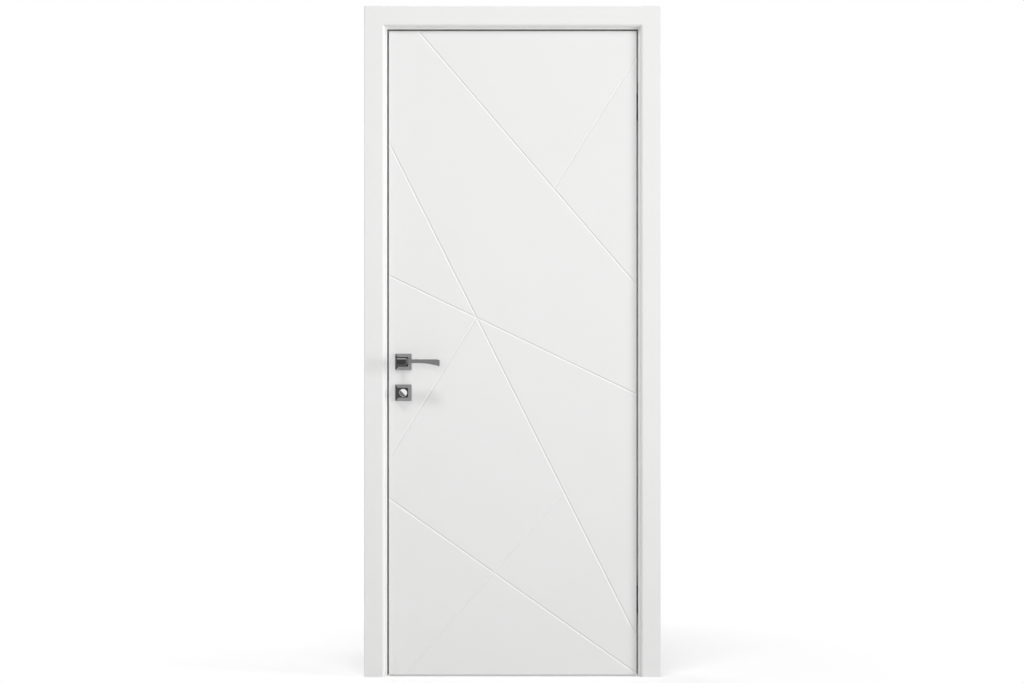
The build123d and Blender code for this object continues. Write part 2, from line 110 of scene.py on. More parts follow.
# Stage, in metres: offsets are from the point that the lights aim at, and sizes are width and height.
# The rise and side of the far lights are shares of their distance.
AIM_HEIGHT = 1.1
FLOOR_REACH = 40.0
FRONT_LIGHT_OFFSET = (-0.5, -2.4, 0.25)
FRONT_LIGHT_SIZE = (2.0, 1.6)
RIGHT_LIGHT_RISE = 0.1
RIGHT_LIGHT_SIZE = (1.05, 3.0)
TOP_LIGHT_SIDE = -0.04
TOP_LIGHT_SIZE = (2.4, 0.6)
BACK_LIGHT_OFFSET = (-2.4, 2.6, 0.0)
BACK_LIGHT_SIZE = (2.0, 2.0)


def length(name, description, default):
    """A size in metres that a user may change."""
    return FloatProperty(
        name=name, description=description, default=default, min=0.0, precision=4, unit="LENGTH"
    )


def colour(name, description, default):
    """A linear colour that a user may change."""
    return FloatVectorProperty(
        name=name, description=description, default=default, size=3, min=0.0, max=1.0, subtype="COLOR"
    )


def level(name, description, default):
    """A plain number that a user may change."""
    return FloatProperty(name=name, description=description, default=default, min=0.0)


class DoorFinishes(bpy.types.PropertyGroup):
    """Colours of the door's surfaces."""

    lacquer: colour("Lacquer", "White satin lacquer on frame, casings and leaf", (0.86, 0.86, 0.855))
    edge: colour("Leaf edges", "Lacquer over timber on the leaf's edges", (0.84, 0.835, 0.82))
    seal: colour("Seal", "Soft strip in the frame's rebate", (0.72, 0.72, 0.71))
    nickel_dark: colour("Nickel, flats", "Dark plate on lever and roses", (0.030, 0.030, 0.031))
    # Painted sheen: the paler plate on bevels and edges stands in for the lights that they reflect.
    nickel_light: colour("Nickel, bevels", "Plate where edges are rubbed paler", (0.42, 0.42, 0.423))
    chrome: colour("Chrome", "Bright turn and coin release", (0.86, 0.87, 0.88))
    steel: colour("Steel", "Lock plates, spindles and screws", (0.55, 0.55, 0.56))
    bolt: colour("Bolts", "Sintered latch and bolt, darker than the plate round them", (0.27, 0.27, 0.275))
    zinc: colour("Hinges", "Cast cups and arms of the concealed hinges", (0.42, 0.42, 0.43))


class DoorSizes(bpy.types.PropertyGroup):
    """Sizes of the modelled hardware and details."""

    casing_inner: length("Casing, inner round", "Round on a casing's edge beside the leaf", 0.009)
    casing_outer: length("Casing, outer round", "Round on a casing's outer edge", 0.0025)
    scribe_seat: length("Scribe seat", "Depth of a scribed end in the upright", 0.0002)
    rose_flat: length("Rose flat", "Side of the flat square in the middle of a rose", 0.030)
    rose_edge: length("Rose edge", "Height of a rose's upright edge", 0.004)
    rose_corner: length("Rose corner", "Round on the corners of a rose", 0.0012)
    rose_ease: length("Rose ease", "Softening of a rose's edges", 0.0003)
    rose_clear: length("Clear of rose", "From the leaf's face to what turns in front of a rose", 0.0085)
    hub_gap: length("Hub gap", "From the leaf's face to the end of a hub inside its rose", 0.0006)
    lever_hub: length("Lever hub", "Radius of the lever's round neck", 0.009)
    lever_waist: length("Lever waist", "Radius of the neck at its slimmest", 0.0082)
    lever_out: length("Lever projection", "From the leaf's face to the front of the lever", 0.050)
    lever_reach: length("Lever reach", "From the lever's axis to its tip", 0.113)
    head_left: length("Head, outer side", "From the axis to the head's plain end", 0.018)
    head_right: length("Head, blade side", "From the axis to where the head starts to narrow", 0.008)
    head_depth: length("Head depth", "Thickness of the head behind its front face", 0.015)
    head_tall: length("Head height", "Height of the head", 0.023)
    head_bevel: length("Head bevel", "Bevel along the head's upper and lower front edges", 0.004)
    head_end: length("Head end", "Round on the head's plain end", 0.003)
    blade_start: length("Blade start", "From the axis to where the blade has its own section", 0.018)
    blade_straight: length("Blade straight", "From the axis to where the underside starts to swell", 0.047)
    blade_thick: length("Blade thickness", "Thickness of the blade", 0.011)
    blade_neck: length("Blade neck", "Height of the blade where it is slimmest", 0.0115)
    blade_tip: length("Blade tip", "Height of the blade at its tip", 0.0215)
    blade_lean: length("Blade lean", "How far the blade's front face leans back at the top", 0.004)
    blade_top: length("Blade top", "Height of the blade's upper edge above the axis", 0.008)
    tip_slant: length("Tip slant", "Length over which the blade's upper edge falls at its tip", 0.009)
    tip_drop: length("Tip drop", "How far the blade's upper edge falls at its tip", 0.0023)
    tip_end: length("Tip end", "Round on the blade's end", 0.002)
    edge_round: length("Lever edge", "Round on the lever's edges", 0.0012)
    turn_radius: length("Turn radius", "Radius of the thumb turn", 0.012)
    turn_base: length("Turn rim", "Height of the turn at its lowest rim", 0.005)
    turn_ridge: length("Turn ridge", "Height of the turn at its ridge", 0.013)
    turn_hub: length("Turn hub", "Radius of the turn's shank", 0.007)
    turn_ease: length("Turn ease", "Softening of the turn's rim", 0.0005)
    turn_crest: length("Turn crest", "Softening of the turn's ridge", 0.0006)
    screw_radius: length("Screw head", "Radius of a screw's raised head", 0.0036)
    screw_rise: length("Screw rise", "Height of a screw's raised head", 0.0009)
    plate_screw: length("Plate screws", "From the end of a lock plate to its screw", 0.014)
    cup_screw: length("Cup screws", "From the end of a hinge cup to its screw", 0.011)


class DoorStudio(bpy.types.PropertyGroup):
    """Camera and light."""

    lens: FloatProperty(name="Lens", description="Focal length", default=70.0, min=1.0, unit="CAMERA")
    view_width: length("View width", "Width of the picture in the plane of the leaf", 3.150)
    view_shift: length("View offset", "How far the camera stands to the left of the door's middle", 0.002)
    floor: colour("Floor", "Pale floor", (0.55, 0.55, 0.55))
    floor_glow: level("Floor glow", "What the eye sees of the floor besides its lit colour", 0.44)
    shadow_near: length("Shadow, near", "From the door to where its shadow on the floor starts to fade", 0.5)
    shadow_far: length("Shadow, far", "From the door to where the floor is plain white", 1.3)
    ambient: level("Ambient", "Even light from all round", 0.262)
    front_power: level("Front light", "Power of the large front light in watts", 16.8)
    right_power: level("Right light", "Power of the far light on the right in watts", 228.0)
    top_power: level("Top light", "Power of the far light above in watts", 168.0)
    back_power: level("Back light", "Power of the large light behind the door in watts", 90.0)
    far: length("Far lights", "Distance of the lights on the right and above", 6.0)
    right_angle: level("Right light's angle", "Its angle from the leaf's normal, in degrees", 71.0)
    top_angle: level("Top light's angle", "Its angle from the leaf's normal, in degrees", 68.0)
    # Painted reflection: the card's glow sets how dark the metal looks on its left.
    card_tone: level("Card", "Brightness of the dark card that the metal reflects on the left", 0.2)


def smooth_step(start, end, value):
    """0 before start, 1 after end, and an even S between them."""
    share = np.clip((value - start) / (end - start), 0.0, 1.0)
    return share * share * (3.0 - 2.0 * share)


def place_on(local, axis, side):
    """Points in the door's frame from distances across, up and out of a leaf face, about an axis."""
    face, out = side
    world = np.empty_like(local)
    world[..., 0] = axis[0] + local[..., 0]
    world[..., 1] = face + out * local[..., 2]
    world[..., 2] = axis[2] + local[..., 1]
    return world


def skin_faces(rows, columns, loop):
    """Quads between each ring and the next; a loop also joins the last ring to the first."""
    row = np.arange(rows if loop else rows - 1)[:, None]
    column = np.arange(columns)[None, :]
    after = (row + 1) % rows
    beside = (column + 1) % columns
    corners = (
        row * columns + column,
        row * columns + beside,
        after * columns + beside,
        after * columns + column,
    )
    return np.stack(np.broadcast_arrays(*corners), axis=-1).reshape(-1, 4)


def cap_faces(rows, columns):
    """Triangles from the first and the last ring to a middle point each, which follow the rings' points."""
    column = np.arange(columns)
    beside = (column + 1) % columns
    last = (rows - 1) * columns
    first_middle = np.full(columns, rows * columns)
    first = np.stack((first_middle, beside, column), axis=-1)
    final = np.stack((first_middle + 1, last + column, last + beside), axis=-1)
    return np.concatenate((first, final))


def skin_arrays(rings, loop=False):
    """Points, quads and triangles of the closed surface through a stack of rings, all facing outwards."""
    rows, columns, _ = rings.shape
    points = rings.reshape(-1, 3)
    quads = skin_faces(rows, columns, loop)
    triangles = np.empty((0, 3), dtype=int)
    if not loop:
        points = np.concatenate((points, rings[:1].mean(axis=1), rings[-1:].mean(axis=1)))
        triangles = cap_faces(rows, columns)
    halves = np.concatenate((quads[:, [0, 1, 2]], quads[:, [0, 2, 3]], triangles))
    a, b, c = (points[halves[:, corner]] for corner in range(3))
    if np.einsum("ij,ij->i", a, np.cross(b, c)).sum() < 0.0:
        quads = quads[:, ::-1]
        triangles = triangles[:, ::-1]
    return points, quads, triangles


def joined_arrays(shells):
    """Several closed surfaces as one set of arrays."""
    starts = np.cumsum([0] + [len(points) for points, _, _ in shells[:-1]])
    points = np.concatenate([shell[0] for shell in shells])
    quads = np.concatenate([shell[1] + start for shell, start in zip(shells, starts)])
    triangles = np.concatenate([shell[2] + start for shell, start in zip(shells, starts)])
    return points, quads, triangles


def show_mesh(name, mesh, sharp):
    """An object at the origin that shows a mesh, smooth except at sharp edges."""
    mesh.shade_smooth()
    mesh.set_sharp_from_angle(angle=sharp)
    piece = bpy.data.objects.new(name, mesh)
    bpy.context.scene.collection.objects.link(piece)
    return piece


def new_piece(name, arrays, sharp=SHARP):
    """A named object from points, quads and triangles."""
    points, quads, triangles = arrays
    mesh = bpy.data.meshes.new(name)
    mesh.from_pydata(points.tolist(), [], quads.tolist() + triangles.tolist())
    mesh.validate()
    return show_mesh(name, mesh, sharp)


def set_attribute(piece, name, values):
    """A number on each point of a piece, for its material."""
    attribute = piece.data.attributes.new(name, "FLOAT", "POINT")
    attribute.data.foreach_set("value", np.asarray(values, dtype=np.float32))


def fused_piece(name, shells):
    """One closed mesh from closed surfaces that cross each other."""
    parts = [new_piece(f"{name}_{index}", shell) for index, shell in enumerate(shells)]
    base = parts[0]
    for other in parts[1:]:
        union = base.modifiers.new("Union", "BOOLEAN")
        union.operation = "UNION"
        union.solver = "EXACT"
        union.object = other
    graph = bpy.context.evaluated_depsgraph_get()
    mesh = bpy.data.meshes.new_from_object(base.evaluated_get(graph))
    mesh.name = name
    for part in parts:
        bpy.data.objects.remove(part)
    return show_mesh(name, mesh, SHARP)


def finish_piece(piece, material, body, replaced=()):
    """Gives a piece its material, puts it on its body, and hides the plain parts that it replaces."""
    piece.data.materials.clear()
    piece.data.materials.append(material)
    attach(piece, body)
    if replaced:
        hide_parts(*replaced)


def dress(nodes, material):
    """Gives carried-over nodes a material."""
    for name in nodes:
        materials = NODES[name].data.materials
        materials.clear()
        materials.append(material)


def circle_rings(radii, heights, columns=64):
    """Rings of a lathed form about the out direction: one circle for each radius and height."""
    turn = np.linspace(0.0, 2.0 * np.pi, columns, endpoint=False)
    radii = np.asarray(radii)[:, None]
    out = np.broadcast_to(np.asarray(heights)[:, None], (len(radii), columns))
    return np.stack((radii * np.cos(turn), radii * np.sin(turn), out), axis=-1)


def quarter_turns():
    """Bearings of four quarter turns in a row, each with a corner's points at even steps."""
    return np.linspace(0.0, np.pi / 2.0, CORNER_POINTS)[None, :] + np.arange(4)[:, None] * np.pi / 2.0


def rounded_square(half, corner, height):
    """A square ring with round corners at one height.

    Each corner is a quarter turn about its own centre, and points at even steps along the side lead to the
    next corner.
    """
    quarters = quarter_turns()
    centres = (half - corner) * np.array([[1.0, 1.0], [-1.0, 1.0], [-1.0, -1.0], [1.0, -1.0]])
    corners = centres[:, None, :] + corner * np.stack((np.cos(quarters), np.sin(quarters)), axis=-1)
    side_points = 12
    share = np.linspace(0.0, 1.0, side_points)[None, 1:-1, None]
    start = corners[:, -1:]
    end = np.roll(corners[:, :1], -1, axis=0)
    outline = np.concatenate((corners, start + share * (end - start)), axis=1).reshape(-1, 2)
    return np.column_stack((outline, np.full(len(outline), height)))


def node(tree, kind, inputs=None, **settings):
    """Adds a node; inputs are values or sockets by name or index, settings are the node's own choices."""
    made = tree.nodes.new(kind)
    for key, value in settings.items():
        setattr(made, key, value)
    for key, value in (inputs or {}).items():
        if isinstance(value, bpy.types.NodeSocket):
            tree.links.new(value, made.inputs[key])
        else:
            made.inputs[key].default_value = value
    return made


def maths(tree, operation, first, second):
    """The result of one sum on two values or sockets."""
    return node(tree, "ShaderNodeMath", {0: first, 1: second}, operation=operation).outputs[0]


def mixed_colour(tree, factor, first, second):
    """A colour between two, by a factor."""
    made = node(tree, "ShaderNodeMix", {0: factor, 6: first, 7: second}, data_type="RGBA")
    return made.outputs[2]


def ranged(tree, value, low, high, start=0.0, end=1.0):
    """A value from start to end stretched to run from low to high."""
    made = node(tree, "ShaderNodeMapRange", {0: value, 1: start, 2: end, 3: low, 4: high})
    return made.outputs[0]


def object_space(tree, scale=(1.0, 1.0, 1.0)):
    """The piece's own coordinates, stretched by a scale."""
    place = node(tree, "ShaderNodeTexCoord").outputs["Object"]
    return node(tree, "ShaderNodeMapping", {"Vector": place, "Scale": scale}).outputs[0]


def noise(tree, vector, scale, detail, roughness=0.5):
    """Soft noise at a scale, broken up by finer noise."""
    inputs = {"Vector": vector, "Scale": scale, "Detail": detail, "Roughness": roughness}
    return node(tree, "ShaderNodeTexNoise", inputs).outputs[0]


def new_group(name, inputs, outputs):
    """An empty shader group with named sockets; inputs have their defaults."""
    group = bpy.data.node_groups.new(name, "ShaderNodeTree")
    for label, kind, default in inputs:
        socket = group.interface.new_socket(label, in_out="INPUT", socket_type=kind)
        if default is not None:
            socket.default_value = default
    for label in outputs:
        group.interface.new_socket(label, in_out="OUTPUT", socket_type="NodeSocketFloat")
    return group, group.nodes.new("NodeGroupInput"), group.nodes.new("NodeGroupOutput")


def film_group():
    """A sprayed film: fine ripples and slow cloudy changes."""
    inputs = (("Vector", "NodeSocketVector", None), ("Ripple", "NodeSocketFloat", 420.0))
    group, start, end = new_group("film_group", inputs, ("Ripples", "Clouds"))
    vector = start.outputs["Vector"]
    group.links.new(noise(group, vector, start.outputs["Ripple"], detail=2.0), end.inputs["Ripples"])
    group.links.new(noise(group, vector, scale=3.2, detail=4.0), end.inputs["Clouds"])
    return group


def brushed_group():
    """Fine parallel lines: noise that is drawn out along one direction by the coordinates it is given."""
    inputs = (("Vector", "NodeSocketVector", None), ("Lines", "NodeSocketFloat", 900.0))
    group, start, end = new_group("brushed_group", inputs, ("Lines",))
    lines = noise(group, start.outputs["Vector"], start.outputs["Lines"], detail=3.0, roughness=0.65)
    group.links.new(lines, end.inputs["Lines"])
    return group


def handling_group():
    """Finger marks and dust: soft patches broken up by finer noise."""
    inputs = (("Vector", "NodeSocketVector", None), ("Patches", "NodeSocketFloat", 55.0))
    group, start, end = new_group("handling_group", inputs, ("Marks",))
    vector, patches = start.outputs["Vector"], start.outputs["Patches"]
    broad = noise(group, vector, patches, detail=2.0)
    soft = ranged(group, broad, low=0.0, high=1.0, start=0.45, end=0.7)
    fine_scale = maths(group, "MULTIPLY", patches, 7.0)
    fine = noise(group, vector, fine_scale, detail=5.0)
    group.links.new(maths(group, "MULTIPLY", soft, fine), end.inputs["Marks"])
    return group


def wear_group():
    """Painted sheen on edges and bevels: the piece's own values, broken up by noise."""
    inputs = (("Vector", "NodeSocketVector", None), ("Grain", "NodeSocketFloat", 260.0))
    group, start, end = new_group("wear_group", inputs, ("Rubbed",))
    edge = node(group, "ShaderNodeAttribute", attribute_name="rubbed").outputs["Fac"]
    grain = noise(group, start.outputs["Vector"], start.outputs["Grain"], detail=4.0)
    broken = ranged(group, grain, low=0.92, high=1.06, start=0.3, end=0.7)
    group.links.new(maths(group, "MULTIPLY", edge, broken), end.inputs["Rubbed"])
    return group


def shared_group(build):
    """The shader group that has its builder's name, built the first time that a material asks for it."""
    return bpy.data.node_groups.get(build.__name__) or build()


def use_group(tree, build, vector, **inputs):
    """Places a shared group in a material and returns its outputs."""
    made = tree.nodes.new("ShaderNodeGroup")
    made.node_tree = shared_group(build)
    tree.links.new(vector, made.inputs["Vector"])
    for label, value in inputs.items():
        made.inputs[label].default_value = value
    return made.outputs


def new_material(name, metallic=0.0):
    """A material with its node tree and its surface shader."""
    material = bpy.data.materials.new(name)
    material.use_nodes = True
    shader = material.node_tree.nodes["Principled BSDF"]
    shader.inputs["Metallic"].default_value = metallic
    return material, material.node_tree, shader


def opaque(rgb, factor=1.0):
    """A colour with alpha, scaled by a factor."""
    return (*(min(1.0, channel * factor) for channel in rgb), 1.0)


def paint(tree, shader, base, roughness):
    """Gives a surface its colour and its roughness, both from sockets."""
    tree.links.new(base, shader.inputs["Base Color"])
    tree.links.new(roughness, shader.inputs["Roughness"])


def set_bump(tree, shader, height, distance):
    """Raises the surface by a height map whose full range is a distance in metres."""
    bump = node(tree, "ShaderNodeBump", {"Height": height, "Distance": distance, "Strength": 1.0})
    tree.links.new(bump.outputs[0], shader.inputs["Normal"])


def lacquer_material(rgb):
    """Sprayed white lacquer: faint clouds in tone and gloss, and a fine orange peel."""
    material, tree, shader = new_material("sprayed_lacquer")
    space = object_space(tree)
    film = use_group(tree, film_group, space)
    marks = use_group(tree, handling_group, space, Patches=9.0)
    tone = mixed_colour(tree, film["Clouds"], opaque(rgb, 0.985), opaque(rgb, 1.01))
    dusted = mixed_colour(tree, maths(tree, "MULTIPLY", marks["Marks"], 0.06), tone, opaque(rgb, 0.9))
    gloss = ranged(tree, film["Clouds"], low=0.36, high=0.44, start=0.35, end=0.65)
    touched = maths(tree, "ADD", gloss, maths(tree, "MULTIPLY", marks["Marks"], 0.08))
    paint(tree, shader, dusted, touched)
    set_bump(tree, shader, film["Ripples"], distance=0.000025)
    return material


def edge_material(rgb):
    """Lacquered timber: the same film with the grain just showing through, drawn out along the edge."""
    material, tree, shader = new_material("lacquered_timber")
    space = object_space(tree)
    film = use_group(tree, film_group, space)
    grain = use_group(tree, brushed_group, object_space(tree, (1.0, 1.0, 0.03)), Lines=700.0)
    shade = ranged(tree, grain["Lines"], low=0.0, high=1.0, start=0.35, end=0.65)
    tone = mixed_colour(tree, shade, opaque(rgb, 0.96), opaque(rgb, 1.02))
    gloss = ranged(tree, film["Clouds"], low=0.42, high=0.54, start=0.35, end=0.65)
    paint(tree, shader, tone, gloss)
    set_bump(tree, shader, maths(tree, "ADD", film["Ripples"], shade), distance=0.00004)
    return material


def seal_material(rgb):
    """Soft extruded strip: matt, with fine lines along it and a little dust."""
    material, tree, shader = new_material("soft_seal")
    space = object_space(tree)
    lines = use_group(tree, brushed_group, object_space(tree, (1.0, 1.0, 0.02)), Lines=1500.0)
    marks = use_group(tree, handling_group, space, Patches=30.0)
    shade = mixed_colour(tree, lines["Lines"], opaque(rgb, 0.93), opaque(rgb, 1.05))
    dusted = mixed_colour(tree, marks["Marks"], shade, opaque(rgb, 0.8))
    paint(tree, shader, dusted, ranged(tree, lines["Lines"], low=0.55, high=0.75))
    set_bump(tree, shader, lines["Lines"], distance=0.00006)
    return material


def nickel_material(dark, light):
    """Dark satin plate, brushed across, with painted sheen on bevels and edges that stands in for the lights
    they reflect, and with finger marks.
    """
    material, tree, shader = new_material("brushed_nickel", metallic=1.0)
    space = object_space(tree)
    lines = use_group(tree, brushed_group, object_space(tree, (0.05, 1.0, 1.0)), Lines=2600.0)
    marks = use_group(tree, handling_group, space, Patches=140.0)
    rubbed = use_group(tree, wear_group, space)
    # Painted sheen: the plate goes paler where the piece's values of painted sheen are high.
    plate = mixed_colour(tree, rubbed["Rubbed"], opaque(dark), opaque(light))
    streaked = mixed_colour(tree, maths(tree, "MULTIPLY", lines["Lines"], 0.22), plate, opaque(light, 0.5))
    satin = ranged(tree, lines["Lines"], low=0.17, high=0.27, start=0.3, end=0.7)
    touched = maths(tree, "ADD", satin, maths(tree, "MULTIPLY", marks["Marks"], 0.06))
    paint(tree, shader, streaked, touched)
    set_bump(tree, shader, lines["Lines"], distance=0.00001)
    return material


def chrome_material(rgb):
    """Polished plate with faint finger marks and hairlines."""
    material, tree, shader = new_material("polished_chrome", metallic=1.0)
    space = object_space(tree)
    marks = use_group(tree, handling_group, space, Patches=180.0)
    lines = use_group(tree, brushed_group, object_space(tree, (0.08, 1.0, 1.0)), Lines=3000.0)
    tone = mixed_colour(tree, marks["Marks"], opaque(rgb), opaque(rgb, 0.9))
    paint(tree, shader, tone, ranged(tree, marks["Marks"], low=0.07, high=0.22))
    set_bump(tree, shader, lines["Lines"], distance=0.000002)
    return material


def steel_material(rgb):
    """Satin steel, brushed upright, with a little handling."""
    material, tree, shader = new_material("satin_steel", metallic=1.0)
    space = object_space(tree)
    lines = use_group(tree, brushed_group, object_space(tree, (1.0, 1.0, 0.03)), Lines=2200.0)
    marks = use_group(tree, handling_group, space, Patches=90.0)
    tone = mixed_colour(tree, lines["Lines"], opaque(rgb, 0.85), opaque(rgb, 1.12))
    handled = mixed_colour(tree, marks["Marks"], tone, opaque(rgb, 0.75))
    satin = ranged(tree, lines["Lines"], low=0.24, high=0.42, start=0.3, end=0.7)
    paint(tree, shader, handled, satin)
    set_bump(tree, shader, lines["Lines"], distance=0.000008)
    return material


def bolt_material(rgb):
    """Sintered steel, turned smooth: a fine even grain, and bright hairlines where the bolt slides."""
    material, tree, shader = new_material("sintered_steel", metallic=1.0)
    space = object_space(tree)
    grain = use_group(tree, film_group, space, Ripple=2400.0)
    slides = use_group(tree, brushed_group, object_space(tree, (0.03, 1.0, 1.0)), Lines=1800.0)
    tone = mixed_colour(tree, grain["Ripples"], opaque(rgb, 0.85), opaque(rgb, 1.15))
    bright = maths(tree, "MULTIPLY", slides["Lines"], 0.25)
    rubbed = mixed_colour(tree, bright, tone, opaque(rgb, 1.8))
    satin = ranged(tree, grain["Ripples"], low=0.28, high=0.4, start=0.3, end=0.7)
    paint(tree, shader, rubbed, satin)
    set_bump(tree, shader, slides["Lines"], distance=0.00001)
    return material


def zinc_material(rgb):
    """Cast and tumbled zinc: fine pits, cloudy satin tone."""
    material, tree, shader = new_material("cast_zinc", metallic=0.9)
    space = object_space(tree)
    film = use_group(tree, film_group, space, Ripple=1400.0)
    marks = use_group(tree, handling_group, space, Patches=120.0)
    tone = mixed_colour(tree, film["Ripples"], opaque(rgb, 0.85), opaque(rgb, 1.15))
    handled = mixed_colour(tree, marks["Marks"], tone, opaque(rgb, 0.7))
    satin = ranged(tree, film["Ripples"], low=0.36, high=0.52, start=0.3, end=0.7)
    paint(tree, shader, handled, satin)
    set_bump(tree, shader, film["Ripples"], distance=0.00004)
    return material


def kept_material(name, build, *colours):
    """A material by name, built the first time that a piece asks for it."""
    return bpy.data.materials.get(name) or build(*colours)


def nickel(finishes):
    """The lever's and roses' plate."""
    dark, light = finishes.nickel_dark[:], finishes.nickel_light[:]
    return kept_material("brushed_nickel", nickel_material, dark, light)


def steel(finishes):
    """The metal of lock plates, spindles and screws."""
    return kept_material("satin_steel", steel_material, finishes.steel[:])


def scribe_rings(sizes, width, thick):
    """The end of a head casing that is cut to lie over the round of the upright beside it.

    Row by row the end goes further over that round, by a turn of its arc that stops short of a feather edge,
    and starts from the round's height there. Each row is what the head's own section has above that height:
    inner round, flat and outer round, on a seat let into the upright.
    """
    inner, outer = sizes.casing_inner, sizes.casing_outer
    furthest = math.radians(85.0)
    rows, round_points = 14, 10
    turn = np.linspace(0.0, furthest, rows)[:, None]
    share = np.linspace(0.0, 1.0, round_points)[None, :]
    over = inner * (1.0 - np.cos(turn))
    level_out = thick - inner + inner * np.sin(turn)
    climb = turn + (np.pi / 2.0 - turn) * share
    last = np.arcsin(np.clip((level_out - thick) / outer + 1.0, 0.0, 1.0))
    fall = np.pi / 2.0 + (last - np.pi / 2.0) * share
    fall_up = width - outer + outer * np.cos(fall)
    seat = level_out - sizes.scribe_seat
    up = np.concatenate((over, inner * (1.0 - np.cos(climb)), fall_up, fall_up[:, -1:]), axis=1)
    climb_out = thick - inner + inner * np.sin(climb)
    fall_out = thick - outer + outer * np.sin(fall)
    out = np.concatenate((seat, climb_out, fall_out, seat), axis=1)
    return np.stack((np.broadcast_to(over, up.shape), up, out), axis=-1)


def scribed_ends(head, wall_corner, out, sizes):
    """Both scribed ends of one head casing; the wall's face is at one corner of the casing's box."""
    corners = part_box(head)
    low, high = corners
    wall = corners[wall_corner].y
    rings = scribe_rings(sizes, high.z - low.z, high.y - low.y)
    shells = []
    for end, along in ((low.x, -1.0), (high.x, 1.0)):
        world = (end + along * rings[..., 0], wall + out * rings[..., 2], low.z + rings[..., 1])
        shells.append(skin_arrays(np.stack(world, axis=-1)))
    return joined_arrays(shells)


def rose_rings(sizes, width, height, bore):
    """A rose as rings from its foot over edge, bevel and flat into the bore and back.

    Each ring is a rounded square of one half side at one height; on the flat the squares become circles
    by keeping every point's bearing, and the last ring closes on the first behind the rose.
    """
    ease = sizes.rose_ease
    half = width / 2.0
    flat = sizes.rose_flat / 2.0
    bevel_drop = 0.7 * ease
    # Painted sheen on each ring: most on the edge and the bevel, some on the foot and at the bore, none on
    # the flat, standing in for the lights that the metal reflects.
    plain, part_sheen, full_sheen = 0.0, 0.4, 0.65
    steps = (
        (half - ease, 0.0, part_sheen),
        (half, ease, full_sheen),
        (half, sizes.rose_edge - ease, full_sheen),
        (half - ease, sizes.rose_edge, full_sheen),
        (flat + ease, height - bevel_drop, full_sheen),
        (flat, height, full_sheen),
        (flat - ease, height, plain),
    )
    squares = [rounded_square(side, sizes.rose_corner, out) for side, out, _ in steps]
    bearing = np.arctan2(squares[-1][:, 1], squares[-1][:, 0])
    rounds = (
        (bore + 2.0 * ease, height, plain),
        (bore + ease, height - ease, part_sheen),
        (bore + ease, 0.0, plain),
    )
    circles = [
        np.column_stack((radius * np.cos(bearing), radius * np.sin(bearing), np.full_like(bearing, out)))
        for radius, out, _ in rounds
    ]
    rubbed = np.repeat([value for _, _, value in steps + rounds], len(bearing))
    return np.stack(squares + circles), rubbed


def make_rose(name, axis, side, bore, sizes, material):
    """One square rose on a leaf face, in place of its plain solid."""
    low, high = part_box(name)
    rings, rubbed = rose_rings(sizes, high.x - low.x, high.y - low.y, bore)
    shell = skin_arrays(place_on(rings, axis, side), loop=True)
    piece = new_piece(f"{name}_bevelled", shell, ROSE_SHARP)
    # Painted sheen on the rose, for the plate's material.
    set_attribute(piece, "rubbed", rubbed)
    finish_piece(piece, material, "leaf", (name,))


def lever_stations(sizes):
    """Distances along the lever and, at each, how far its rounded ends draw the section in."""
    turn = np.linspace(0.0, np.pi / 2.0, CORNER_POINTS)
    left = -sizes.head_left
    tip = sizes.lever_reach
    stations = 90
    between = np.linspace(left + sizes.head_end, tip - sizes.tip_end, stations)[1:-1]
    head_end = left + sizes.head_end * (1.0 - np.cos(turn))
    tip_end = tip - sizes.tip_end * (1.0 - np.cos(turn))
    along = np.concatenate((head_end, between, tip_end[::-1]))
    drawn_in = 1.0 - np.sin(turn)
    head_inset = sizes.head_end * drawn_in
    tip_inset = sizes.tip_end * drawn_in[::-1]
    return along, np.concatenate((head_inset, np.zeros(len(between)), tip_inset))


def lever_limits(sizes, along):
    """At distances along the lever: the share of blade, upper and lower edge, thickness and cut corner.

    From head to blade all of them change in an S. The blade's underside then swells as a parabola, and its
    upper edge falls a little at the tip.
    """
    blade = smooth_step(sizes.head_right, sizes.blade_start, along)
    swell_length = sizes.lever_reach - sizes.blade_straight
    swell = np.clip((along - sizes.blade_straight) / swell_length, 0.0, 1.0) ** 2
    fall = np.clip((along - sizes.lever_reach) / sizes.tip_slant + 1.0, 0.0, 1.0)
    head_half = sizes.head_tall / 2.0
    blade_under = sizes.blade_top - sizes.blade_neck - (sizes.blade_tip - sizes.blade_neck) * swell
    top = head_half + (sizes.blade_top - sizes.tip_drop * fall - head_half) * blade
    under = -head_half + (blade_under + head_half) * blade
    thick = sizes.head_depth + (sizes.blade_thick - sizes.head_depth) * blade
    cut = sizes.head_bevel + (sizes.edge_round - sizes.head_bevel) * blade
    return blade, top, under, thick, cut


def lever_corners():
    """Corners of the lever's section as shares out and up: the two in front cut, the two behind round."""
    quarters = quarter_turns()
    arc_out = np.cos(quarters)
    arc_up = np.sin(quarters)
    straight = np.linspace(0.0, 1.0, CORNER_POINTS)
    arc_out[0], arc_up[0] = straight[::-1], straight
    arc_out[3], arc_up[3] = straight, straight - 1.0
    return arc_out, arc_up


